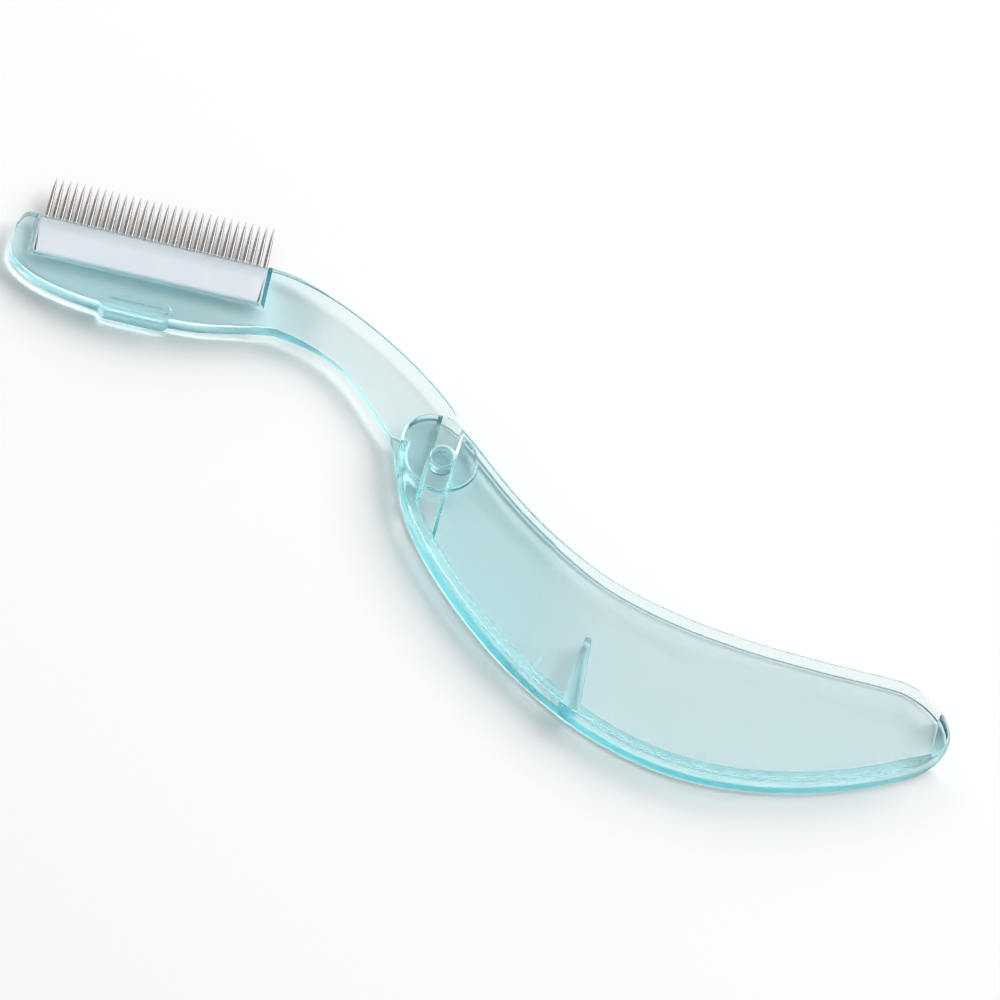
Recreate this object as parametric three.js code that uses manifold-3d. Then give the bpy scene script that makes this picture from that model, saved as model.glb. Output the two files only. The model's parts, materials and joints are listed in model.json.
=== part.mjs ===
// Folding eyelash comb: a flat clear arm carries a row of steel needles and swings on two
// moulded stubs into a curved clear handle, a channel that is open along its hollow edge.
// Millimetres, +Z up. The comb lies open on its side, with the needle row along X and the
// needles pointing along +Y. Places in plan are measured from the hinge. Each curve is a cubic
// given as two handles and an end, and starts where the one before it ends.

import * as THREE from 'three';
import { mergeVertices } from 'three/addons/utils/BufferGeometryUtils.js';
import Module from 'manifold-3d';

const wasm = await Module();
wasm.setup();

// Handle
const THICKNESS = 3.6; // over both walls
const THICK_WALL = 1.2; // beside the hinge and the neck
const THIN_WALL = 0.7; // beside the comb head
const SPINE = 1.7; // solid edge that joins the walls
const HANDLE_CHAMFER = 0.3;
const EAR = { x: -1.6, y: 2.2, radius: 4.45, end: 50 }; // round end over the hinge, degrees
const RIM = [
  [5.8, 2.0, 10.8, -5.4, 22.8, -12.2],
  [37.5, -20.2, 60.4, -18.7, 66.8, -19.2],
];
const TIP = [
  [68.5, -19.3, 74.6, -21.5, 74.6, -27.0],
  [74.6, -28.6, 71.1, -31.8, 70.6, -32.1],
];
const BELLY = [
  [58.2, -39.3, 48.1, -40.4, 42.2, -40.4],
  [19.4, -40.4, 1.8, -18.3, -2.5, -10.9],
];
const HEEL = [-3.9, -8.1, -6.1, -2.6, EAR.x - EAR.radius, EAR.y];

// Inside of the handle, square to its draw direction
const DRAW_LEAN = 3.5; // degrees that the draw direction leans from +Y towards +X
const GUIDE_HALF = 1.75; // half width of the guides that lead the stubs to their holes
const GUIDE_WALL = 0.6; // wall left behind a guide
const STEP_AT = 18.1; // across the draw direction, where the walls turn thin
const END_WALL_AT = 74.85; // across the draw direction, inner face of the tip
const SHOULDER = { x: -4.9, y: 1.4, slope: 12 }; // line on which the open arm rests
const SHOULDER_END = -7.4; // neck and lip end flush here
const LIP = [-6.6, -0.1, -6.1, -1.9, -5.4, -3.8]; // outer edge of the lip under that line
const RIB = { at: 25.6, top: -22.05, width: 1.1, foot: 2.0, depth: 11.6 };

// Hinge
const STUB_DIAMETER = 3.1;
const STUB_GAP = 0.05;
const STUB_RECESS = 0.05; // below the faces of the handle
const TANG_RADIUS = 5.1;
const TANG_GAP = 0.15;

// Arm
const SIDE_GAP = 0.1; // between the arm and each wall
const NECK_THICKNESS = THICKNESS - 2 * (THICK_WALL + SIDE_GAP);
const HEAD_THICKNESS = THICKNESS - 2 * (THIN_WALL + SIDE_GAP);
const BACK_THICKNESS = 2.9; // the edge that stays outside the handle
const BACK_CHAMFER = 0.3;
const STOP_GAP = 0.05;
const HEAD_TOP = 25.0;
const HEAD_END = -26.6; // where the head thins into the neck
const TANG_TOP = 68; // degrees, where the neck runs into the tang
const NECK_UPPER = [-17.3, HEAD_TOP, 0.6, 10.4, 1.7, 6.6];
const NECK_LOWER = [-14.0, 9.5, -15.6, 13.3, -26.2, 14.9];
const HEAD_LOWER = [
  [-35.6, 13.1, -34.5, 12.2, -45.0, 12.2],
  [-47.6, 12.2, -64.1, 12.3, -64.4, 19.5],
];
const HEAD_LEFT = [-64.5, 22.5, -63.9, HEAD_TOP, -62.6, HEAD_TOP];
const HEAD_TOP_RIGHT = -28.4;
const BACK_START = [-27.4, 15.0];
const BACK_UPPER = [
  [-33.0, 15.0, -36.0, 17.4, -42.0, 17.2],
  [-48.0, 17.0, -53.0, 13.6, -65.0, 18.4],
];
const TAB = { left: -50.6, right: -40.4, low: 11.8, high: 13.9, inset: 0.05 };

// Needles and the bar that holds them
const NEEDLE_COUNT = 32;
const NEEDLE_PITCH = 1.0;
const NEEDLE_DIAMETER = 0.62;
const NEEDLE_TIP = 32.5;
const NEEDLE_FOOT = 20.6;
const NEEDLE_GAP = 0.03;
const NEEDLE_SIDES = 10;
const LAST_NEEDLE = -29.45;
const POCKET = { left: -61.9, right: -28.35, floor: 18.8, skin: 0.375 };
const BAR_GAP = 0.05;
const BAR_TOP = 24.8;

const MIDDLE = THICKNESS / 2;
const CURVE_STEPS = 18;
const ROUND_SIDES = 48;
const REACH = 12; // how far a cutter stands past what it cuts
const radians = THREE.MathUtils.degToRad;

const clearAqua = { color: 0xb9e3e9, roughness: 0.08, metalness: 0, transparent: true, opacity: 0.55 };
const whitePlastic = { color: 0xe9ebf2, roughness: 0.45, metalness: 0 };
const needleSteel = { color: 0xb8b6b2, roughness: 0.25, metalness: 1 };

// Solids

function solid(geometry) {
  const bare = geometry.clone();
  bare.deleteAttribute('normal');
  bare.deleteAttribute('uv');
  const merged = mergeVertices(bare, 1e-4);
  return new wasm.Manifold(new wasm.Mesh({
    numProp: 3,
    vertProperties: new Float32Array(merged.attributes.position.array),
    triVerts: new Uint32Array(merged.index.array),
  }));
}

function geometryOf(body) {
  const mesh = body.getMesh();
  const geometry = new THREE.BufferGeometry();
  geometry.setAttribute('position', new THREE.BufferAttribute(mesh.vertProperties, 3));
  geometry.setIndex(new THREE.BufferAttribute(mesh.triVerts, 1));
  geometry.computeVertexNormals();
  return geometry;
}

// A plan outline given thickness about the middle plane, with chamfered edges if asked
function plate(shape, thickness, chamfer = 0) {
  const geometry = new THREE.ExtrudeGeometry(shape, {
    depth: thickness - 2 * chamfer,
    curveSegments: CURVE_STEPS,
    bevelEnabled: chamfer > 0,
    bevelSegments: 1,
    bevelThickness: chamfer,
    bevelSize: chamfer,
    bevelOffset: -chamfer,
  });
  geometry.translate(0, 0, MIDDLE - thickness / 2 + chamfer);
  return solid(geometry);
}

function block(left, right, low, high, thickness) {
  const geometry = new THREE.BoxGeometry(right - left, high - low, thickness);
  geometry.translate((left + right) / 2, (low + high) / 2, MIDDLE);
  return geometry;
}

// A block whose sides follow the draw direction of the handle
function drawnBlock(left, right, thickness) {
  const geometry = block(left, right, -60, 60, thickness);
  geometry.rotateZ(-radians(DRAW_LEAN));
  return solid(geometry);
}

function disc(diameter, thickness) {
  const geometry = new THREE.CylinderGeometry(diameter / 2, diameter / 2, thickness, ROUND_SIDES);
  geometry.rotateX(Math.PI / 2);
  geometry.translate(0, 0, MIDDLE);
  return solid(geometry);
}

function part(name, geometry, material) {
  const mesh = new THREE.Mesh(geometry, new THREE.MeshStandardMaterial(material));
  mesh.name = name;
  return mesh;
}

// Handle

function handleOutline() {
  const start = radians(EAR.end);
  const shape = new THREE.Shape();
  shape.moveTo(EAR.x + EAR.radius * Math.cos(start), EAR.y + EAR.radius * Math.sin(start));
  for (const curve of [...RIM, ...TIP, ...BELLY, HEEL]) {
    shape.bezierCurveTo(...curve);
  }
  shape.absarc(EAR.x, EAR.y, EAR.radius, Math.PI, start, true);
  return shape;
}

// Height of the shoulder line at a place, lifted by a gap
function shoulderAt(x, gap = 0) {
  return SHOULDER.y + gap + (SHOULDER.x - x) * Math.tan(radians(SHOULDER.slope));
}

// The lip between the walls that carries the shoulder of the arm
function lipOutline() {
  const shape = new THREE.Shape();
  shape.moveTo(SHOULDER_END, shoulderAt(SHOULDER_END));
  shape.bezierCurveTo(...LIP);
  shape.lineTo(SHOULDER.x, LIP[5]);
  shape.lineTo(SHOULDER.x, SHOULDER.y);
  return shape;
}

// The space above the lip through which the neck leaves the handle
function neckOpening(thickness) {
  const geometry = block(-REACH, -SHOULDER.x, 0, REACH, thickness);
  geometry.rotateZ(-radians(SHOULDER.slope));
  geometry.translate(SHOULDER.x, SHOULDER.y, 0);
  return solid(geometry);
}

// Points along a run of curves, moved inwards by the spine's thickness
function insideOfSpine() {
  const run = new THREE.Path();
  run.moveTo(...TIP[1].slice(4));
  for (const curve of [...BELLY, HEEL]) {
    run.bezierCurveTo(...curve);
  }
  return run.curves.flatMap((curve) => {
    const steps = Array.from({ length: CURVE_STEPS }, (_, i) => i / CURVE_STEPS);
    return steps.map((t) => {
      const along = curve.getTangent(t);
      const inwards = new THREE.Vector2(along.y, -along.x);
      return curve.getPoint(t).addScaledVector(inwards, SPINE);
    });
  });
}

// The space between the walls in plan, carried past the open rim and the tip
function cavityOutline() {
  const inside = insideOfSpine();
  const first = inside[0];
  const last = inside[inside.length - 1];
  const out = first.clone().sub(inside[1]).normalize().multiplyScalar(REACH);
  const shape = new THREE.Shape();
  shape.moveTo(first.x + out.x, REACH);
  shape.lineTo(first.x + out.x, first.y + out.y);
  inside.forEach((point) => shape.lineTo(point.x, point.y));
  shape.lineTo(last.x, REACH);
  return shape;
}

function handleCase() {
  const narrow = THICKNESS - 2 * THICK_WALL;
  const wide = THICKNESS - 2 * THIN_WALL;
  const guided = THICKNESS - 2 * GUIDE_WALL;
  const cavity = plate(cavityOutline(), THICKNESS);
  const rib = new THREE.Shape();
  rib.moveTo(RIB.at - RIB.foot / 2, RIB.top - RIB.depth);
  rib.lineTo(RIB.at + RIB.foot / 2, RIB.top - RIB.depth);
  rib.lineTo(RIB.at + RIB.width / 2, RIB.top);
  rib.lineTo(RIB.at - RIB.width / 2, RIB.top);
  const stop = plate(rib, wide + HANDLE_CHAMFER).rotate([0, 0, -DRAW_LEAN]);
  return plate(handleOutline(), THICKNESS, HANDLE_CHAMFER)
    .add(plate(lipOutline(), narrow))
    .subtract(cavity.intersect(drawnBlock(-GUIDE_HALF, END_WALL_AT, narrow)))
    .subtract(cavity.intersect(drawnBlock(STEP_AT, END_WALL_AT, wide)))
    .subtract(cavity.intersect(drawnBlock(-GUIDE_HALF, GUIDE_HALF, guided)))
    .subtract(neckOpening(narrow))
    .subtract(disc(2 * (TANG_RADIUS + TANG_GAP), narrow))
    .subtract(disc(STUB_DIAMETER + 2 * STUB_GAP, 2 * THICKNESS))
    .add(stop);
}

// Arm

function armOutline() {
  const top = radians(TANG_TOP);
  const rest = Math.atan2(SHOULDER.y + STOP_GAP, SHOULDER.x) - 2 * Math.PI;
  const shape = new THREE.Shape();
  shape.moveTo(SHOULDER_END, shoulderAt(SHOULDER_END, STOP_GAP));
  shape.bezierCurveTo(...NECK_LOWER);
  HEAD_LOWER.forEach((curve) => shape.bezierCurveTo(...curve));
  shape.bezierCurveTo(...HEAD_LEFT);
  shape.lineTo(HEAD_TOP_RIGHT, HEAD_TOP);
  shape.bezierCurveTo(...NECK_UPPER);
  shape.absarc(0, 0, TANG_RADIUS, top, rest, true);
  return shape;
}

// Everything below the line where the back of the head turns thick
function backRegion() {
  const [x, y] = BACK_START;
  const shape = new THREE.Shape();
  shape.moveTo(x, y - REACH);
  shape.lineTo(x, y);
  BACK_UPPER.forEach((curve) => shape.bezierCurveTo(...curve));
  shape.lineTo(BACK_UPPER[1][4], y - REACH);
  return shape;
}

function tabOutline() {
  const radius = (TAB.high - TAB.low) / 2;
  const middle = TAB.low + radius;
  const shape = new THREE.Shape();
  shape.absarc(TAB.left + radius, middle, radius, Math.PI / 2, 1.5 * Math.PI, false);
  shape.absarc(TAB.right - radius, middle, radius, -Math.PI / 2, Math.PI / 2, false);
  return shape;
}

function combArm() {
  const outline = armOutline();
  const headSide = solid(block(-90, HEAD_END, 0, 40, THICKNESS));
  const gap = HEAD_THICKNESS - 2 * POCKET.skin;
  const pocket = block(POCKET.left, POCKET.right, POCKET.floor, HEAD_TOP + REACH, gap);
  return plate(outline, NECK_THICKNESS)
    .add(plate(outline, HEAD_THICKNESS).intersect(headSide))
    .add(plate(outline, BACK_THICKNESS, BACK_CHAMFER).intersect(plate(backRegion(), THICKNESS)))
    .add(plate(tabOutline(), THICKNESS - 2 * TAB.inset, BACK_CHAMFER))
    .add(disc(STUB_DIAMETER, THICKNESS - 2 * STUB_RECESS))
    .subtract(solid(pocket));
}

// Needles and their bar

function needlePlaces() {
  return Array.from({ length: NEEDLE_COUNT }, (_, i) => LAST_NEEDLE - i * NEEDLE_PITCH);
}

// Profile of a needle from its foot: a shank, a slow taper and a fine point
function needle() {
  const radius = NEEDLE_DIAMETER / 2;
  const length = NEEDLE_TIP - NEEDLE_FOOT;
  const profile = [[0, 0], [1, 0], [1, 0.5], [0.75, 0.84], [0.42, 0.94], [0, 1]];
  const points = profile.map(([out, along]) => new THREE.Vector2(out * radius, along * length));
  return new THREE.LatheGeometry(points, NEEDLE_SIDES);
}

function needleBar() {
  const thickness = HEAD_THICKNESS - 2 * (POCKET.skin + BAR_GAP);
  const left = POCKET.left + BAR_GAP;
  const right = POCKET.right - BAR_GAP;
  const bar = block(left, right, POCKET.floor + BAR_GAP, BAR_TOP, thickness);
  const radius = NEEDLE_DIAMETER / 2 + NEEDLE_GAP;
  const depth = BAR_TOP - NEEDLE_FOOT + NEEDLE_GAP;
  const holes = needlePlaces().map((x) => {
    const hole = new THREE.CylinderGeometry(radius, radius, 2 * depth, NEEDLE_SIDES);
    hole.translate(x, BAR_TOP, MIDDLE);
    return solid(hole);
  });
  return holes.reduce((rest, hole) => rest.subtract(hole), solid(bar));
}

// Assembly

const comb = new THREE.Group();
comb.add(part('handle_case', geometryOf(handleCase()), clearAqua));
comb.add(part('comb_arm', geometryOf(combArm()), clearAqua));
comb.add(part('needle_bar', geometryOf(needleBar()), whitePlastic));
needlePlaces().forEach((x, i) => {
  const mesh = part(`needle_${String(i + 1).padStart(2, '0')}`, needle(), needleSteel);
  mesh.position.set(x, NEEDLE_FOOT, MIDDLE);
  comb.add(mesh);
});

// The origin lies under the middle of the open comb, on the surface that it rests on
const box = new THREE.Box3().setFromObject(comb, true);
const centre = box.getCenter(new THREE.Vector3());
comb.position.set(-centre.x, -centre.y, -box.min.z);

export default comb;
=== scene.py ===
"""Looks of a folding eyelash comb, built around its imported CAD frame.

The clear mouldings are worked out again as fine numpy surfaces with rounded edges, so that they
bend light as the real ones do. Lengths in the classes are millimetres and plan places are
measured from the hinge, with the needle row along X and the needles pointing along +Y.
"""

import json
import logging
import math
from collections.abc import Callable, Sequence
from dataclasses import dataclass
from enum import Enum

import bmesh
import bpy
import numpy as np
from mathutils import Matrix, Vector


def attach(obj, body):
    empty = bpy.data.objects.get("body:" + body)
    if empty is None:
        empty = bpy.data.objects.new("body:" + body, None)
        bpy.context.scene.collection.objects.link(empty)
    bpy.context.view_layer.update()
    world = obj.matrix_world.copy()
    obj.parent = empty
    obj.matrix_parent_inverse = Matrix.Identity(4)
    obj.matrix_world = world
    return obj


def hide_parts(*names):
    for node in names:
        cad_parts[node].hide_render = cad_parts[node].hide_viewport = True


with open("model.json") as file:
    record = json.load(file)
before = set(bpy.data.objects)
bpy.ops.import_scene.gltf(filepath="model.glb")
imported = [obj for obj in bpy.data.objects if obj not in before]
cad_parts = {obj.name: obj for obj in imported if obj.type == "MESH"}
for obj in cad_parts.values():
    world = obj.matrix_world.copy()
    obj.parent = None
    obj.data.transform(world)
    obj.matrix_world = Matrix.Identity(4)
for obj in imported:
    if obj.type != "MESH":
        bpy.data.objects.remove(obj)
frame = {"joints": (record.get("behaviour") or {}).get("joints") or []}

LOG = logging.getLogger("eyelash_comb")
MM = 0.001
MERGE_M = 1e-8

Points = np.ndarray
Place = tuple[float, float]
Cubic = tuple[Place, Place, Place]
Height = Callable[[Points], np.ndarray]


class Combine(Enum):
    """How one closed mesh is worked into another."""

    JOIN = "UNION"
    CUT = "DIFFERENCE"


class Body(Enum):
    """The two rigid bodies of the comb."""

    HANDLE = "handle"
    COMB = "comb"


# Plan curves


def cubic_chain(start: Place, curves: Sequence[Cubic], steps: int = 60) -> Points:
    """Points along cubic curves that follow one another.

    Each curve runs from the end of the one before, and its point at t is the sum of its four
    control points weighted by (1-t)^3, 3(1-t)^2 t, 3(1-t) t^2 and t^3.

    Args:
        start: first point of the first curve.
        curves: two handles and an end for each curve.
        steps: points on each curve.

    Returns:
        Rows of plan points.
    """
    t = np.linspace(0.0, 1.0, steps, endpoint=False)[:, None]
    weights = np.hstack([(1 - t) ** 3, 3 * (1 - t) ** 2 * t, 3 * (1 - t) * t**2, t**3])
    starts = [start] + [curve[2] for curve in curves]
    runs = [weights @ np.array([first, *curve]) for first, curve in zip(starts, curves)]
    return np.vstack([*runs, [starts[-1]]])


def arc(centre: Place, radius: float, first: float, last: float, steps: int = 48) -> Points:
    """Points on a circle from one angle to another, in degrees, centre + r (cos a, sin a)."""
    angle = np.radians(np.linspace(first, last, steps))
    return np.array(centre) + radius * np.column_stack([np.cos(angle), np.sin(angle)])


def stations(line: Points, count: int) -> Points:
    """Points along a line at the lengths L (1 - cos(pi k)) / 2, so they crowd at its two ends.

    Args:
        line: rows of plan points.
        count: how many points are wanted.

    Returns:
        That many plan points on the line.
    """
    steps = np.linalg.norm(np.diff(line, axis=0), axis=1)
    length = np.concatenate([[0.0], np.cumsum(steps)])
    at = length[-1] * (1 - np.cos(np.pi * np.linspace(0.0, 1.0, count))) / 2
    return np.column_stack([np.interp(at, length, line[:, axis]) for axis in (0, 1)])


def inwards(outline: Points) -> Points:
    """Unit normals of a closed clockwise outline, turned to its inside.

    The direction at a point is that of the chord between its neighbours, turned a quarter turn.

    Args:
        outline: rows of plan points.

    Returns:
        A unit vector for each point.
    """
    along = np.roll(outline, -1, axis=0) - np.roll(outline, 1, axis=0)
    along /= np.linalg.norm(along, axis=1)[:, None]
    return np.column_stack([along[:, 1], -along[:, 0]])


def smooth_step(value: np.ndarray) -> np.ndarray:
    """0 below 0, 1 above 1 and 3v^2 - 2v^3 between."""
    v = np.clip(value, 0.0, 1.0)
    return v * v * (3 - 2 * v)


def fade(value: np.ndarray, ends: Place) -> np.ndarray:
    """0 before the first end, 1 past the second, and a smooth step between them."""
    return smooth_step((value - ends[0]) / (ends[1] - ends[0]))


# Meshes


def place(points: np.ndarray) -> np.ndarray:
    """Millimetres from the hinge, with z from the table, turned to metres in the row frame."""
    hinge = frame["joints"][0]["pos_m"]
    return np.asarray(points) * MM + np.array([hinge[0], hinge[1], 0.0])


def make_object(name: str, points: np.ndarray, faces: list[Sequence[int]]) -> bpy.types.Object:
    """A closed mesh object at the origin, with coincident points merged and faces turned outwards.

    Args:
        name: name of the object and its mesh.
        points: rows of x, y, z in millimetres from the hinge.
        faces: point numbers of each face.

    Returns:
        The new object, linked to the scene.
    """
    mesh = bpy.data.meshes.new(name)
    mesh.from_pydata(place(points), [], faces)
    work = bmesh.new()
    work.from_mesh(mesh)
    bmesh.ops.remove_doubles(work, verts=work.verts, dist=MERGE_M)
    bmesh.ops.recalc_face_normals(work, faces=work.faces)
    work.to_mesh(mesh)
    work.free()
    made = bpy.data.objects.new(name, mesh)
    bpy.context.scene.collection.objects.link(made)
    return made


def tube_faces(rings: int, around: int) -> np.ndarray:
    """Quads between rings of points that each close on themselves.

    Args:
        rings: number of rings.
        around: points in each ring.

    Returns:
        Four point numbers for each quad.
    """
    ring, step = np.meshgrid(np.arange(rings - 1), np.arange(around), indexing="ij")
    first, after = ring * around, (ring + 1) * around
    onwards = (step + 1) % around
    corners = [first + step, after + step, after + onwards, first + onwards]
    return np.stack(corners, axis=-1).reshape(-1, 4)


def slab(
    name: str,
    upper: Points,
    lower: Points,
    half: Height,
    middle: float,
    rounding: tuple[Height, Height],
    count: int = 400,
    across: int = 24,
    turns: int = 6,
) -> bpy.types.Object:
    """A flat moulding with rounded edges, between two plan lines that share their ends.

    Its section at each station is a loop: a quarter round of radius r, whose points lie
    r (1 - cos a) inside the outline at a height of h - r + r sin a, then straight across to the
    other edge and back along the underside. h is the half height at that place in plan.

    Args:
        name: name of the object.
        upper: plan line on one side, from the first end to the last.
        lower: plan line on the other side, between the same ends.
        half: half height in millimetres of each plan point.
        middle: height of the middle plane.
        rounding: radius of the rounded edge at each point of the first line and of the second.
        count: stations along the moulding.
        across: points across each flat face.
        turns: steps in each quarter round.

    Returns:
        The closed mesh object.
    """
    one, other = stations(upper, count), stations(lower, count)
    normal = inwards(np.vstack([one, other[-2:0:-1]]))
    one_in = normal[:count]
    other_in = np.vstack([normal[:1], normal[: count - 1 : -1], normal[count - 1 : count]])
    angle = np.linspace(0.0, np.pi / 2, turns + 1)
    one_round, other_round = rounding[0](one)[:, None], rounding[1](other)[:, None]
    inset = 1 - np.cos(angle)
    edge_one = one[:, None] + one_in[:, None] * (one_round * inset)[:, :, None]
    edge_other = other[:, None] + other_in[:, None] * (other_round * inset)[:, :, None]
    share = np.linspace(0.0, 1.0, across + 2)[1:-1, None]
    flat = edge_one[:, -1:] * (1 - share) + edge_other[:, -1:] * share
    face = np.concatenate([edge_one, flat, edge_other[:, ::-1]], axis=1)
    rise = np.sin(angle) - 1
    drop = np.hstack([one_round * rise, np.zeros((count, across)), other_round * rise[::-1]])
    height = half(face.reshape(-1, 2)).reshape(face.shape[:2]) + drop
    top = np.dstack([face, middle + height])
    bottom = np.dstack([face, middle - height])[:, ::-1]
    loops = np.concatenate([top, bottom], axis=1)
    return make_object(name, loops.reshape(-1, 3), tube_faces(*loops.shape[:2]).tolist())


def constant(value: float) -> Height:
    """A height that is the same at every plan point."""
    return lambda plan: np.full(len(plan), value)


def stack(name: str, levels: Sequence[tuple[float | np.ndarray, Points]]) -> bpy.types.Object:
    """Outlines in plan at rising heights, joined by straight sides and closed by flat ends.

    Args:
        name: name of the object.
        levels: a height, or one for each point, and an outline, all with as many points.

    Returns:
        The closed mesh object.
    """
    count = len(levels[0][1])
    rings = [np.column_stack([outline, np.broadcast_to(z, count)]) for z, outline in levels]
    sides = tube_faces(len(levels), count).tolist()
    last = (len(levels) - 1) * count
    ends = [list(range(count)), list(range(last, last + count))]
    return make_object(name, np.vstack(rings), sides + ends)


def prism(name: str, outline: Points, low: float, high: float) -> bpy.types.Object:
    """An outline in plan raised straight from one height to another, closed by flat ends."""
    return stack(name, [(low, outline), (high, outline)])


def turned(name: str, profile: np.ndarray, around: int = 64) -> bpy.types.Object:
    """A profile turned about the hinge axis: each (r, z) becomes the ring (r cos a, r sin a, z).

    Args:
        name: name of the object.
        profile: rows of radius and height, starting and ending on the axis.
        around: points in each ring.

    Returns:
        The closed mesh object.
    """
    angle = np.linspace(0.0, 2 * np.pi, around, endpoint=False)
    ring = np.column_stack([np.cos(angle), np.sin(angle)])
    plan = profile[:, None, :1] * ring
    height = np.broadcast_to(profile[:, None, 1:], (*plan.shape[:2], 1))
    points = np.concatenate([plan, height], axis=2)
    return make_object(name, points.reshape(-1, 3), tube_faces(*points.shape[:2]).tolist())


def combine(base: bpy.types.Object, other: bpy.types.Object, way: Combine) -> None:
    """Works one closed mesh into another and removes it.

    Args:
        base: the object that is changed.
        other: the object that is joined to it or cut from it.
        way: joined or cut.
    """
    step = base.modifiers.new(way.name, "BOOLEAN")
    step.operation = way.value
    step.solver = "MANIFOLD"
    step.object = other
    done = base.evaluated_get(bpy.context.evaluated_depsgraph_get())
    mesh = bpy.data.meshes.new_from_object(done)
    base.modifiers.clear()
    mesh.name = base.name
    base.data = mesh
    bpy.data.objects.remove(other)


def smooth_shade(made: bpy.types.Object, sharpest: float = 32.0) -> None:
    """Smooth shading that keeps edges over the given angle, in degrees, sharp."""
    made.data.shade_smooth()
    made.data.set_sharp_from_angle(angle=math.radians(sharpest))


# Materials


def linear(code: str) -> tuple[float, float, float, float]:
    """An sRGB hex colour as the linear values that a socket takes.

    Args:
        code: the colour, as # and six hex digits.

    Returns:
        Red, green and blue, and an opacity of 1.
    """
    channels = [int(code[i : i + 2], 16) / 255 for i in (1, 3, 5)]
    curve = [c / 12.92 if c <= 0.04045 else ((c + 0.055) / 1.055) ** 2.4 for c in channels]
    return (*curve, 1.0)


def add_node(
    tree: bpy.types.NodeTree,
    kind: str,
    inputs: dict[str | int, object] | None = None,
    **settings: object,
) -> bpy.types.Node:
    """Adds a node, sets its properties, and fills or links its inputs.

    Args:
        tree: the node tree.
        kind: Blender's name for the node type, without ShaderNode.
        inputs: a value, or an output to link, for each named or numbered input.
        **settings: properties of the node itself.

    Returns:
        The new node.
    """
    made = tree.nodes.new(f"ShaderNode{kind}")
    for name, value in settings.items():
        setattr(made, name, value)
    for socket, value in (inputs or {}).items():
        if isinstance(value, bpy.types.NodeSocket):
            tree.links.new(value, made.inputs[socket])
        else:
            made.inputs[socket].default_value = value
    return made


def new_material(name: str) -> tuple[bpy.types.Material, bpy.types.NodeTree]:
    """An empty node material.

    Args:
        name: name of the material.

    Returns:
        The material and its node tree.
    """
    material = bpy.data.materials.new(name)
    material.use_nodes = True
    material.node_tree.nodes.clear()
    return material, material.node_tree


@dataclass(frozen=True)
class ClearStyrene:
    """Styrene acrylonitrile, injection moulded in a polished tool and tinted aqua.

    It is clear like glass but bends light a little more. The dye hardly shows through a thin
    wall and turns deep aqua where light runs along inside it. Slow flow waves are left on its
    skin by the moulding. Its lower side comes from a satin half of the tool, so that what lies
    under it shows only as soft light and shade.
    """

    index: float = 1.57
    clarity: float = 1.0
    face_tint: str = "#ffffff"
    dye: str = "#00e3ea"
    dye_per_metre: float = 88.0
    wave_mm: float = 6.0
    wave_height_mm: float = 0.006
    grain_mm: float = 0.8
    smoothest: float = 0.015
    roughest: float = 0.05
    side_roughness: float = 0.3
    side_range: Place = (0.3, 0.9)
    satin_roughness: float = 0.14
    satin_below_mm: float = 1.5
    satin_facing: float = -0.5

    def material(self) -> bpy.types.Material:
        """The node material.

        Returns:
            The new material.
        """
        material, tree = new_material("clear_styrene_acrylonitrile_aqua")
        where = add_node(tree, "TexCoord")
        wave = add_node(
            tree,
            "TexNoise",
            {"Vector": where.outputs["Object"], "Scale": 1 / (self.wave_mm * MM), "Detail": 1.0},
        )
        grain = add_node(
            tree,
            "TexNoise",
            {"Vector": where.outputs["Object"], "Scale": 1 / (self.grain_mm * MM), "Detail": 3.0},
        )
        polish = add_node(
            tree,
            "MapRange",
            {"Value": grain.outputs["Fac"], "To Min": self.smoothest, "To Max": self.roughest},
        )
        steep, flat = self.side_range
        lean = add_node(tree, "SeparateXYZ", {"Vector": where.outputs["Normal"]})
        level = add_node(tree, "Math", {0: lean.outputs["Z"]}, operation="ABSOLUTE")
        side = add_node(
            tree,
            "MapRange",
            {
                "Value": level.outputs["Value"],
                "From Min": steep,
                "From Max": flat,
                "To Min": self.side_roughness,
                "To Max": 0.0,
            },
        )
        height = add_node(tree, "SeparateXYZ", {"Vector": where.outputs["Object"]})
        low = add_node(
            tree,
            "Math",
            {0: height.outputs["Z"], 1: self.satin_below_mm * MM},
            operation="LESS_THAN",
        )
        down = add_node(
            tree,
            "Math",
            {0: lean.outputs["Z"], 1: self.satin_facing},
            operation="LESS_THAN",
        )
        under = add_node(
            tree,
            "Math",
            {0: low.outputs["Value"], 1: down.outputs["Value"]},
            operation="MULTIPLY",
        )
        edges = add_node(
            tree,
            "Math",
            {0: polish.outputs["Result"], 1: side.outputs["Result"]},
            operation="ADD",
        )
        rough = add_node(
            tree,
            "Math",
            {0: under.outputs["Value"], 1: self.satin_roughness, 2: edges.outputs["Value"]},
            operation="MULTIPLY_ADD",
        )
        bump = add_node(
            tree,
            "Bump",
            {"Height": wave.outputs["Fac"], "Distance": self.wave_height_mm * MM, "Strength": 1.0},
        )
        skin = add_node(
            tree,
            "BsdfPrincipled",
            {
                "Base Color": linear(self.face_tint),
                "Roughness": rough.outputs["Value"],
                "IOR": self.index,
                "Transmission Weight": self.clarity,
                "Normal": bump.outputs["Normal"],
            },
        )
        inside = add_node(
            tree,
            "VolumeAbsorption",
            {"Color": linear(self.dye), "Density": self.dye_per_metre},
        )
        add_node(
            tree,
            "OutputMaterial",
            {"Surface": skin.outputs["BSDF"], "Volume": inside.outputs["Volume"]},
        )
        return material


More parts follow.
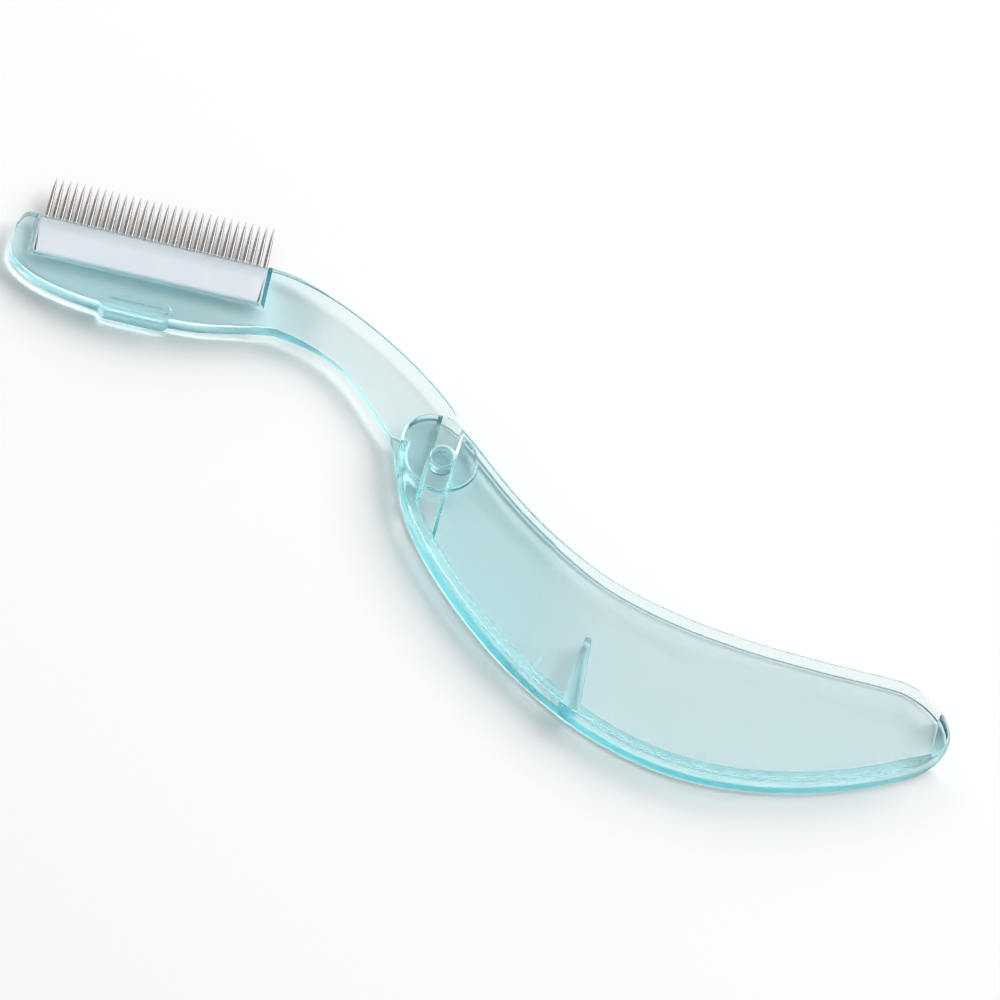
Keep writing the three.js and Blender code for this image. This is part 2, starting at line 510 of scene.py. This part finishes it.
@dataclass(frozen=True)
class WhiteAcetal:
    """Acetal, moulded white: a satin skin with a faint cold cast and a very fine grain.

    Along its top, where the needles go in, a greyer colour is painted on as shade.
    """

    light: str = "#f4f6fb"
    dark: str = "#e9ecf4"
    # painted shade: the greyer colour that the top of the bar is blended to
    top: str = "#d6dbe1"
    painted_shade_top_mm: Place = (26.5, 28.5)
    cloud_mm: float = 4.0
    grain_mm: float = 0.25
    grain_height_mm: float = 0.01
    roughness: Place = (0.35, 0.55)
    index: float = 1.48

    def material(self) -> bpy.types.Material:
        """The node material.

        Returns:
            The new material.
        """
        material, tree = new_material("white_acetal")
        where = add_node(tree, "TexCoord").outputs["Object"]
        cloud, grain = (
            add_node(tree, "TexNoise", {"Vector": where, "Scale": 1 / (size * MM), "Detail": 2.0})
            for size in (self.cloud_mm, self.grain_mm)
        )
        white = add_node(
            tree,
            "Mix",
            {"Factor": cloud.outputs["Fac"], 6: linear(self.dark), 7: linear(self.light)},
            data_type="RGBA",
        )
        # Painted shade: the white turns greyer towards the bar's top, where the needles go in.
        across = add_node(tree, "SeparateXYZ", {"Vector": where}).outputs["Y"]
        first, last = self.painted_shade_top_mm
        painted_shade_near_top = add_node(
            tree,
            "MapRange",
            {"Value": across, "From Min": first * MM, "From Max": last * MM},
        )
        colour = add_node(
            tree,
            "Mix",
            {"Factor": painted_shade_near_top.outputs["Result"], 6: white.outputs[2], 7: linear(self.top)},
            data_type="RGBA",
        )
        low, high = self.roughness
        rough = add_node(
            tree,
            "MapRange",
            {"Value": grain.outputs["Fac"], "To Min": low, "To Max": high},
        )
        bump = add_node(
            tree,
            "Bump",
            {"Height": grain.outputs["Fac"], "Distance": self.grain_height_mm * MM},
        )
        skin = add_node(
            tree,
            "BsdfPrincipled",
            {
                "Base Color": colour.outputs[2],
                "Roughness": rough.outputs["Result"],
                "IOR": self.index,
                "Normal": bump.outputs["Normal"],
            },
        )
        add_node(tree, "OutputMaterial", {"Surface": skin.outputs["BSDF"]})
        return material


@dataclass(frozen=True)
class DrawnSteel:
    """Stainless steel wire, drawn and ground to a point, with fine marks along its length."""

    bright: str = "#a39f9c"
    dull: str = "#6d6967"
    mark_mm: float = 0.12
    stretch: float = 0.04
    roughness: Place = (0.18, 0.34)

    def material(self) -> bpy.types.Material:
        """The node material.

        Returns:
            The new material.
        """
        material, tree = new_material("drawn_stainless_steel")
        where = add_node(tree, "TexCoord").outputs["Object"]
        along = add_node(tree, "Mapping", {"Vector": where, "Scale": (1.0, self.stretch, 1.0)})
        marks = add_node(
            tree,
            "TexNoise",
            {"Vector": along.outputs["Vector"], "Scale": 1 / (self.mark_mm * MM), "Detail": 3.0},
        )
        colour = add_node(
            tree,
            "Mix",
            {"Factor": marks.outputs["Fac"], 6: linear(self.dull), 7: linear(self.bright)},
            data_type="RGBA",
        )
        low, high = self.roughness
        rough = add_node(
            tree,
            "MapRange",
            {"Value": marks.outputs["Fac"], "To Min": low, "To Max": high},
        )
        skin = add_node(
            tree,
            "BsdfPrincipled",
            {
                "Base Color": colour.outputs[2],
                "Metallic": 1.0,
                "Roughness": rough.outputs["Result"],
            },
        )
        add_node(tree, "OutputMaterial", {"Surface": skin.outputs["BSDF"]})
        return material


# Sub-assemblies


def dress(
    made: bpy.types.Object,
    material: bpy.types.Material,
    body: Body,
    node: str,
) -> None:
    """Gives a piece its finish and puts it in the place of a CAD node.

    Args:
        made: the finished piece.
        material: its material.
        body: the body that it rides on.
        node: the CAD node that it stands for.
    """
    made.data.materials.clear()
    made.data.materials.append(material)
    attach(made, body.value)
    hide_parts(node)
    LOG.info("%s: %d points, %d faces", made.name, len(made.data.vertices), len(made.data.polygons))


@dataclass
class Hinge:
    """Two stubs on the arm that turn in holes through the walls of the handle."""

    stub_radius: float = 1.55
    hole_radius: float = 1.6
    recess: float = 0.05
    edge: float = 0.2
    tang_radius: float = 5.1
    seat_radius: float = 5.25
    seat_steps: int = 72
    past: float = 1.0
    turns: int = 7

    def seat_outline(self) -> Points:
        """The round space for the tang, as points on a full circle."""
        step = 360.0 / self.seat_steps
        return arc((0.0, 0.0), self.seat_radius, 0.0, 360.0 - step, self.seat_steps)

    def stub_profile(self, thickness: float) -> np.ndarray:
        """Outline of the pair of stubs, with a quarter round at each end.

        Args:
            thickness: thickness of the handle.

        Returns:
            Rows of radius and height.
        """
        low, high = self.recess, thickness - self.recess
        r, e = self.stub_radius, self.edge
        under = arc((r - e, low + e), e, -90.0, 0.0, self.turns)
        over = arc((r - e, high - e), e, 0.0, 90.0, self.turns)
        return np.vstack([[(0, low)], under, over, [(0, high)]])

    def hole_profile(self, thickness: float) -> np.ndarray:
        """Outline of the hole, with a quarter-round flare at each face, past both faces.

        Args:
            thickness: thickness of the handle.

        Returns:
            Rows of radius and height.
        """
        wide, e = self.hole_radius + self.edge, self.edge
        under = arc((wide, e), e, 270.0, 180.0, self.turns)
        over = arc((wide, thickness - e), e, 180.0, 90.0, self.turns)
        low, high = -self.past, thickness + self.past
        return np.vstack([[(0, low), (wide, low)], under, over, [(wide, high), (0, high)]])


@dataclass
class Handle:
    """The clear case that the comb folds into: two walls, a spine along its belly and a rib."""

    hinge: Hinge
    thickness: float = 3.6
    thick_wall: float = 1.2
    thin_wall: float = 0.7
    guide_wall: float = 0.6
    spine: float = 1.7
    rounding: float = 0.45
    rim_rounding: float = 0.15
    ear_rounding: float = 0.6
    tip_rounding: float = 0.5
    ear_fade: Place = (-0.45, -1.95)
    tip_fade: Place = (70.5, 72.5)
    ear_centre: Place = (-1.6, 2.2)
    ear_radius: float = 4.45
    ear_end: float = 50.0
    rim: tuple[Cubic, ...] = (
        ((5.8, 2.0), (10.8, -5.4), (22.8, -12.2)),
        ((37.5, -20.2), (60.4, -18.7), (66.8, -19.2)),
        ((68.5, -19.3), (74.6, -21.5), (74.6, -27.0)),
    )
    belly: tuple[Cubic, ...] = (
        ((-6.1, -2.6), (-3.9, -8.1), (-2.5, -10.9)),
        ((1.8, -18.3), (19.4, -40.4), (42.2, -40.4)),
        ((48.1, -40.4), (58.2, -39.3), (70.6, -32.1)),
        ((71.1, -31.8), (74.6, -28.6), (74.6, -27.0)),
    )
    draw_lean: float = 3.5
    guide_half: float = 1.75
    guide_slope: Place = (0.3, 0.2)
    step_at: float = 18.1
    ramp_end: float = 26.0
    ramp_wall: float = 0.98
    floor_bends_to: float = 69.5
    floor_slope_steps: int = 5
    floor_runs_on: float = 8.0
    floor_least_points: int = 12
    floor_points_per_mm: int = 2
    end_wall_at: float = 74.1
    shoulder: Place = (-4.9, 1.4)
    shoulder_end: float = -7.4
    shoulder_slope: float = 12.0
    lip: Cubic = ((-6.6, -0.1), (-6.1, -1.9), (-5.4, -3.8))
    lip_back: float = -4.0
    lip_steps: int = 16
    rib_at: float = 25.6
    rib_top: float = -22.05
    rib_foot: float = -33.65
    rib_width: float = 0.9
    rib_foot_width: float = 2.6
    reach: float = 12.0
    overlap: float = 0.1

    def rim_line(self) -> Points:
        """The hollow edge in plan, from the ear's outer end over the ear to the tip."""
        over = arc(self.ear_centre, self.ear_radius, 180.0, self.ear_end)
        return np.vstack([over[:-1], cubic_chain(tuple(over[-1]), self.rim)])

    def belly_line(self) -> Points:
        """The bulging edge in plan, from the ear's outer end to the tip."""
        start = (self.ear_centre[0] - self.ear_radius, self.ear_centre[1])
        return cubic_chain(start, self.belly)

    def turn(self, points: Points, back: bool = False) -> Points:
        """Plan points turned to axes that follow the draw direction, or back from those axes.

        Args:
            points: rows of plan points.
            back: whether they are turned back.

        Returns:
            The turned points.
        """
        lean = math.radians(-self.draw_lean if back else self.draw_lean)
        c, s = math.cos(lean), math.sin(lean)
        return points @ np.array([[c, s], [-s, c]])

    def slot(self, left: float, right: float) -> Points:
        """Outline of the space between the walls, between two places across the draw direction.

        Its floor follows the belly, moved inwards by the thickness of the spine, then runs
        straight on to the end wall. Its mouth stands past the rim.

        Args:
            left: where it starts, across the draw direction.
            right: where it ends.

        Returns:
            Rows of plan points.
        """
        edge = self.belly_line()
        along = np.gradient(edge, axis=0)
        along /= np.linalg.norm(along, axis=1)[:, None]
        floor = self.turn(edge + self.spine * np.column_stack([-along[:, 1], along[:, 0]]))
        first = np.argmin(np.abs(floor[:, 0] + self.guide_half))
        last = np.argmin(np.abs(floor[:, 0] - self.floor_bends_to))
        slope = floor[last] - floor[last - self.floor_slope_steps]
        onwards = floor[last] + self.floor_runs_on * slope
        run = np.vstack([floor[first : last + 1], onwards])
        count = int(self.floor_points_per_mm * (right - left))
        u = np.linspace(left, right, max(self.floor_least_points, count))
        v = np.interp(u, run[:, 0], run[:, 1])
        mouth = [(right, self.reach), (left, self.reach)]
        return self.turn(np.vstack([np.column_stack([u, v]), mouth]), back=True)

    def shoulder_height(self, x: float) -> float:
        """Height in plan of the line that the open arm rests on."""
        slope = math.tan(math.radians(self.shoulder_slope))
        return self.shoulder[1] + (self.shoulder[0] - x) * slope

    def lip_outline(self) -> Points:
        """The lip between the walls, under the shoulder of the arm.

        Returns:
            Rows of plan points.
        """
        start = (self.shoulder_end, self.shoulder_height(self.shoulder_end))
        outer = cubic_chain(start, [self.lip], self.lip_steps)
        back = self.lip_back
        return np.vstack([outer, [(back, self.lip[2][1]), (back, self.shoulder_height(back))]])

    def opening_outline(self) -> Points:
        """The space above the lip through which the neck leaves the handle.

        Returns:
            Rows of plan points.
        """
        ends = (-self.reach, 0.0)
        rest = [(x, self.shoulder_height(x)) for x in ends]
        return np.array(rest + [(x, self.reach) for x in reversed(ends)])

    def rib_outline(self) -> Points:
        """The stop rib, wider at its foot.

        Returns:
            Rows of plan points.
        """
        foot, top = self.rib_foot_width / 2, self.rib_width / 2
        u = self.rib_at + np.array([-foot, foot, top, -top])
        v = [self.rib_foot, self.rib_foot, self.rib_top, self.rib_top]
        return self.turn(np.column_stack([u, v]), back=True)

    def edge_round(self, along: float) -> Height:
        """Radius of the outer edges: one around the ear, one at the tip and one between them.

        Args:
            along: the radius between the ear and the tip.

        Returns:
            A function for the radius at each plan point, blended over a few millimetres.
        """

        def radius(plan: Points) -> np.ndarray:
            """The blended radius.

            Args:
                plan: rows of plan points.

            Returns:
                The radius at each point.
            """
            u = self.turn(plan)[:, 0]
            ear = fade(u, self.ear_fade) * (self.ear_rounding - along)
            tip = fade(u, self.tip_fade) * (self.tip_rounding - along)
            return along + ear + tip

        return radius

    def guide(self) -> bpy.types.Object:
        """The guide grooves for the stubs, with sides that slope from the slot to their floors.

        Returns:
            The closed mesh that is cut away.
        """
        half, wall, floor = self.guide_half, self.thick_wall, self.guide_wall
        left, right = self.guide_slope
        wide = self.slot(-half - left, half + right)
        tight = self.slot(-half + left, half - right)
        heights = (floor, wall, self.thickness - wall, self.thickness - floor)
        return stack("guide", list(zip(heights, (tight, wide, wide, tight))))

    def ramp(self) -> bpy.types.Object:
        """The space past the step, where the walls thin evenly up to the place of the head.

        Returns:
            The closed mesh that is cut away.
        """
        outline = self.slot(self.step_at, self.ramp_end)
        share = (self.turn(outline)[:, 0] - self.step_at) / (self.ramp_end - self.step_at)
        wall = self.ramp_wall + (self.thin_wall - self.ramp_wall) * share
        return stack("ramp", [(wall, outline), (self.thickness - wall, outline)])

    def between(self, wall: float) -> Place:
        """Heights of the two faces of a space that leaves walls of that thickness."""
        return wall, self.thickness - wall

    def build(self) -> bpy.types.Object:
        """The whole case as one closed mesh.

        Returns:
            The finished piece.
        """
        middle = self.thickness / 2
        case = slab(
            "handle_shell",
            self.rim_line(),
            self.belly_line(),
            constant(middle),
            middle,
            (self.edge_round(self.rim_rounding), self.edge_round(self.rounding)),
        )
        narrow, wide = self.between(self.thick_wall), self.between(self.thin_wall)
        near = self.slot(-self.guide_half, self.step_at + 2 * self.overlap)
        far = self.slot(self.ramp_end - self.overlap, self.end_wall_at)
        combine(case, prism("lip", self.lip_outline(), *narrow), Combine.JOIN)
        cuts = [
            prism("narrow_slot", near, *narrow),
            self.ramp(),
            prism("wide_slot", far, *wide),
            self.guide(),
            prism("neck_opening", self.opening_outline(), *narrow),
            prism("tang_seat", self.hinge.seat_outline(), *narrow),
            turned("stub_hole", self.hinge.hole_profile(self.thickness)),
        ]
        for cutter in cuts:
            combine(case, cutter, Combine.CUT)
        low, high = wide
        rib = prism("stop_rib", self.rib_outline(), low - self.overlap, high + self.overlap)
        combine(case, rib, Combine.JOIN)
        smooth_shade(case)
        return case


@dataclass
class CombArm:
    """The clear arm: a tang on the hinge, a curved neck and a head with a pocket for the bar."""

    handle: Handle
    neck_half: float = 0.5
    head_half: float = 1.0
    back_half: float = 1.5
    rounding: float = 0.2
    tang_rounding: float = 0.4
    mouth_rounding: float = 0.12
    back_rounding: float = 0.75
    tang_fade: Place = (6.0, 9.0)
    head_fade: Place = (-26.0, -32.0)
    back_edge_fade: Place = (18.5, 15.5)
    mouth_fade: Place = (21.0, 23.0)
    neck_fade: Place = (-18.5, -26.5)
    upper: tuple[Cubic, ...] = (
        ((-64.5, 22.5), (-63.9, 25.0), (-62.6, 25.0)),
        ((-51.2, 25.0), (-39.8, 25.0), (-28.4, 25.0)),
        ((-17.3, 25.0), (0.6, 10.4), (1.7, 6.6)),
    )
    lower: tuple[Cubic, ...] = (
        ((-64.1, 12.3), (-47.6, 12.2), (-45.0, 12.2)),
        ((-34.5, 12.2), (-35.6, 13.1), (-26.2, 14.9)),
        ((-15.6, 13.3), (-14.0, 9.5), (-7.4, 1.98)),
    )
    start: Place = (-64.4, 19.5)
    stop_gap: float = 0.05
    tang_top: float = 68.0
    tang_foot: float = -80.0
    back_line: tuple[Cubic, ...] = (
        ((-58.0, 18.6), (-52.0, 18.9), (-45.0, 18.9)),
        ((-38.0, 18.9), (-32.0, 18.0), (-27.4, 17.4)),
    )
    back_start: Place = (-65.0, 18.4)
    back_blend: float = 6.6
    back_fade: Place = (-27.6, -31.0)
    tab_left: float = -50.6
    tab_right: float = -40.4
    tab_low: float = 11.5
    tab_high: float = 14.6
    tab_half: float = 1.75
    tab_lip_half: float = 1.35
    tab_step: float = 12.9
    tab_blend: float = 0.35
    tab_rounding: float = 0.4
    pocket: tuple[float, float, float, float] = (-61.9, -28.35, 18.15, 30.0)
    pocket_half: float = 0.625
    pocket_slope: Place = (0.25, 0.55)
    pocket_floor_slope: float = 0.55

    def half_height(self, plan: Points) -> np.ndarray:
        """Half thickness of the arm: thin at the neck, thicker at the head, most along its back.

        Args:
            plan: rows of plan points.

        Returns:
            The half thickness at each point.
        """
        x, y = plan[:, 0], plan[:, 1]
        line = cubic_chain(self.back_start, self.back_line)
        below = np.interp(x, line[:, 0], line[:, 1]) - y
        head = (self.head_half - self.neck_half) * fade(x, self.neck_fade)
        back = (self.back_half - self.head_half) * fade(x, self.back_fade)
        return self.neck_half + head + back * smooth_step(below / self.back_blend)

    def edge_round(self, plan: Points) -> np.ndarray:
        """Radius of the edges: one each for the tang, the neck, the back and the pocket's mouth.

        Args:
            plan: rows of plan points.

        Returns:
            The radius at each point.
        """
        x, y = plan[:, 0], plan[:, 1]
        out = fade(np.linalg.norm(plan, axis=1), self.tang_fade)
        head = fade(x, self.head_fade)
        back = fade(y, self.back_edge_fade) * head
        mouth = fade(y, self.mouth_fade) * head
        radius = self.rounding + (self.back_rounding - self.rounding) * back
        radius += (self.mouth_rounding - self.rounding) * mouth
        return self.tang_rounding + (radius - self.tang_rounding) * out

    def tang_line(self, first: float, last: float) -> Points:
        """The round of the tang between two angles."""
        return arc((0.0, 0.0), self.handle.hinge.tang_radius, first, last)

    def upper_line(self) -> Points:
        """The needle side in plan, from the outer end of the head to the foot of the tang."""
        run = cubic_chain(self.start, self.upper)
        return np.vstack([run, self.tang_line(self.tang_top, self.tang_foot)])

    def lower_line(self) -> Points:
        """The back in plan, from the outer end of the head to the foot of the tang.

        Returns:
            Rows of plan points.
        """
        run = cubic_chain(self.start, self.lower)
        x, y = self.handle.shoulder
        rest = math.degrees(math.atan2(y + self.stop_gap, x))
        return np.vstack([run, self.tang_line(rest, 360.0 + self.tang_foot)])

    def tab_height(self, plan: Points) -> np.ndarray:
        """Half height of the tab: a pad on the back that steps down to a lip past its edge."""
        pad = smooth_step((plan[:, 1] - self.tab_step) / self.tab_blend)
        return self.tab_lip_half + (self.tab_half - self.tab_lip_half) * pad

    def tab(self) -> bpy.types.Object:
        """The finger tab: a pad with round ends across the back.

        Returns:
            The closed mesh that is joined on.
        """
        radius = (self.tab_high - self.tab_low) / 2
        level = self.tab_low + radius
        left, right = (self.tab_left + radius, level), (self.tab_right - radius, level)
        over = np.vstack([arc(left, radius, 180.0, 90.0), arc(right, radius, 90.0, 0.0)])
        under = np.vstack([arc(left, radius, 180.0, 270.0), arc(right, radius, 270.0, 360.0)])
        return slab(
            "tab",
            over,
            under,
            self.tab_height,
            self.handle.thickness / 2,
            (constant(self.tab_rounding),) * 2,
            count=120,
            across=30,
        )

    def pocket_cut(self) -> bpy.types.Object:
        """The pocket for the bar, with ends and a floor that lean out to its middle plane.

        Returns:
            The closed mesh that is cut away.
        """
        left, right, floor, mouth = self.pocket
        corners = np.array([(left, floor), (right, floor), (right, mouth), (left, mouth)])
        lean = np.array([1.0, -1.0, -1.0, 1.0]) * np.array(self.pocket_slope)[[0, 1, 1, 0]]
        rise = np.array([1.0, 1.0, 0.0, 0.0]) * self.pocket_floor_slope
        tight = corners + np.column_stack([lean, rise])
        middle, half = self.handle.thickness / 2, self.pocket_half
        return stack("pocket", [(middle - half, tight), (middle, corners), (middle + half, tight)])

    def build(self) -> bpy.types.Object:
        """The whole arm as one closed mesh.

        Returns:
            The finished piece.
        """
        middle = self.handle.thickness / 2
        arm = slab(
            "comb_arm_moulding",
            self.upper_line(),
            self.lower_line(),
            self.half_height,
            middle,
            (self.edge_round,) * 2,
            count=320,
            across=40,
        )
        stubs = self.handle.hinge.stub_profile(self.handle.thickness)
        combine(arm, self.tab(), Combine.JOIN)
        combine(arm, turned("stubs", stubs), Combine.JOIN)
        combine(arm, self.pocket_cut(), Combine.CUT)
        smooth_shade(arm)
        return arm


@dataclass
class NeedleRow:
    """A white bar in the head's pocket and the steel needles that stand in it."""

    middle: float = 1.8
    count: int = 32
    pitch: float = 1.0
    last: float = -29.45
    radius: float = 0.3
    foot: float = 20.6
    bar_top: float = 24.95
    tip: float = 32.5
    taper: Place = (4.0, 0.9)
    rings: int = 26
    around: int = 20
    sharpest: float = 50.0
    bar: tuple[float, float, float] = (-61.3, -28.9, 18.37)
    bar_half: float = 0.6
    bar_rounding: float = 0.15
    foot_rounding: float = 0.58
    foot_fade: Place = (19.25, 18.65)

    def bar_round(self, plan: Points) -> np.ndarray:
        """Radius of the bar's edges: small around its top and ends, nearly full along its foot."""
        foot = fade(plan[:, 1], self.foot_fade)
        return self.bar_rounding + (self.foot_rounding - self.bar_rounding) * foot

    def build_bar(self) -> bpy.types.Object:
        """The bar, with rounded edges.

        Returns:
            The finished piece.
        """
        left, right, floor = self.bar
        level = (floor + self.bar_top) / 2
        ends = (left, level), (right, level)
        over = np.array([ends[0], (left, self.bar_top), (right, self.bar_top), ends[1]])
        under = np.array([ends[0], (left, floor), (right, floor), ends[1]])
        made = slab(
            "needle_strip",
            over,
            under,
            constant(self.bar_half),
            self.middle,
            (self.bar_round,) * 2,
            count=120,
            across=12,
        )
        smooth_shade(made, self.sharpest)
        return made

    def build_needle(self, number: int) -> bpy.types.Object:
        """One needle: a straight shank, then a taper to its point.

        The radius of the taper is r (1 - w^a)^b, with w from 0 at the bar to 1 at the point and
        a and b the two numbers of the taper.

        Args:
            number: its place in the row, from 1 at the neck.

        Returns:
            The finished piece.
        """
        a, b = self.taper
        w = np.sin(np.linspace(0.0, np.pi / 2, self.rings))
        radius = self.radius * (1 - w**a).clip(0.0) ** b
        along = self.bar_top + w * (self.tip - self.bar_top)
        radius = np.concatenate([[0.0, self.radius], radius])
        along = np.concatenate([[self.foot, self.foot], along])
        angle = np.linspace(0.0, 2 * np.pi, self.around, endpoint=False)
        x = self.last - (number - 1) * self.pitch + radius[:, None] * np.cos(angle)
        z = self.middle + radius[:, None] * np.sin(angle)
        y = np.broadcast_to(along[:, None], x.shape)
        points = np.dstack([x, y, z]).reshape(-1, 3)
        made = make_object(f"needle_wire_{number:02d}", points, tube_faces(*x.shape).tolist())
        smooth_shade(made, self.sharpest)
        return made


# Light, table and camera


@dataclass(frozen=True)
class Softbox:
    """A rectangular soft lamp that points at the middle of the table, in metres and watts."""

    name: str
    spot: tuple[float, float, float]
    size: Place
    watts: float

    def build(self) -> None:
        """Puts the lamp in the scene."""
        data = bpy.data.lights.new(self.name, "AREA")
        data.shape = "RECTANGLE"
        data.size, data.size_y = self.size
        data.energy = self.watts
        made = bpy.data.objects.new(self.name, data)
        made.location = self.spot
        made.rotation_euler = (-Vector(self.spot)).to_track_quat("-Z", "Y").to_euler()
        bpy.context.scene.collection.objects.link(made)


@dataclass
class Studio:
    """A white table under soft light, and the camera of the photograph."""

    table_gap: float = 0.05
    table_half_m: float = 1.5
    table_white: str = "#fcfcfc"
    room_white: str = "#ffffff"
    room_strength: float = 0.4
    lamps: tuple[Softbox, ...] = (
        Softbox("side_softbox", (1.5, 1.1, 1.24), (2.4, 1.4), 47.0),
        Softbox("back_softbox", (0.0, 1.9, 0.85), (4.0, 1.2), 32.0),
    )
    clear_bounces: int = 32
    diffuse_bounces: int = 8
    focal_px: float = 6000.0
    picture_px: float = 1000.0
    sensor_mm: float = 36.0
    nearest_m: float = 0.01
    distance: float = 819.7
    elevation: float = 55.0
    turn: float = 4.2
    roll: float = 16.5
    looks_at: Place = (9.02, -2.63)

    def build_camera(self) -> None:
        """The camera, aimed at the table point in the middle of the picture."""
        turn, rise, roll = (math.radians(a) for a in (self.turn, self.elevation, self.roll))
        ahead = Vector((math.sin(turn), math.cos(turn), 0.0))
        side = Vector((math.cos(turn), -math.sin(turn), 0.0))
        view = ahead * math.cos(rise) - Vector((0.0, 0.0, math.sin(rise)))
        above = ahead * math.sin(rise) + Vector((0.0, 0.0, math.cos(rise)))
        right = side * math.cos(roll) + above * math.sin(roll)
        up = above * math.cos(roll) - side * math.sin(roll)
        target = Vector(place(np.array([*self.looks_at, 0.0])))
        data = bpy.data.cameras.new("camera")
        data.sensor_width = self.sensor_mm
        data.lens = self.sensor_mm * self.focal_px / self.picture_px
        data.clip_start = self.nearest_m
        made = bpy.data.objects.new("camera", data)
        axes = Matrix((right, up, -view)).transposed().to_4x4()
        made.matrix_world = Matrix.Translation(target - view * self.distance * MM) @ axes
        bpy.context.scene.collection.objects.link(made)
        bpy.context.scene.camera = made

    def build_table(self) -> None:
        """A white table top just under the comb."""
        half = self.table_half_m
        corners = np.array([(-half, -half), (half, -half), (half, half), (-half, half)])
        mesh = bpy.data.meshes.new("table")
        points = np.column_stack([corners, np.full(4, -self.table_gap * MM)])
        mesh.from_pydata(points, [], [(0, 1, 2, 3)])
        made = bpy.data.objects.new("table", mesh)
        bpy.context.scene.collection.objects.link(made)
        material, tree = new_material("white_paper")
        paper = add_node(tree, "BsdfDiffuse", {"Color": linear(self.table_white)})
        add_node(tree, "OutputMaterial", {"Surface": paper.outputs["BSDF"]})
        mesh.materials.append(material)

    def build_light(self) -> None:
        """A lamp at the right, a low wide one behind, and a pale room around."""
        world = bpy.data.worlds.new("room")
        bpy.context.scene.world = world
        world.use_nodes = True
        tree = world.node_tree
        tree.nodes.clear()
        room = add_node(
            tree,
            "Background",
            {"Color": linear(self.room_white), "Strength": self.room_strength},
        )
        add_node(tree, "OutputWorld", {"Surface": room.outputs["Background"]})
        for lamp in self.lamps:
            lamp.build()

    def build(self) -> None:
        """Camera, table and light, and the settings for colour and for the light's path."""
        self.build_camera()
        self.build_table()
        self.build_light()
        scene = bpy.context.scene
        scene.view_settings.view_transform = "Standard"
        scene.cycles.max_bounces = self.clear_bounces
        scene.cycles.diffuse_bounces = self.diffuse_bounces
        scene.cycles.glossy_bounces = self.clear_bounces
        scene.cycles.transmission_bounces = self.clear_bounces
        scene.cycles.blur_glossy = 0.0


def main() -> None:
    """Builds the pieces in order, then the studio, and notes the sizes."""
    logging.basicConfig(level=logging.INFO, format="%(name)s: %(message)s")
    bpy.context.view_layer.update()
    clear = ClearStyrene().material()
    white = WhiteAcetal().material()
    steel = DrawnSteel().material()
    handle = Handle(Hinge())
    arm = CombArm(handle)
    row = NeedleRow()
    dress(handle.build(), clear, Body.HANDLE, "handle_case")
    dress(arm.build(), clear, Body.COMB, "comb_arm")
    dress(row.build_bar(), white, Body.COMB, "needle_bar")
    for number in range(1, row.count + 1):
        dress(row.build_needle(number), steel, Body.COMB, f"needle_{number:02d}")
    Studio().build()


if __name__ == "__main__":
    main()
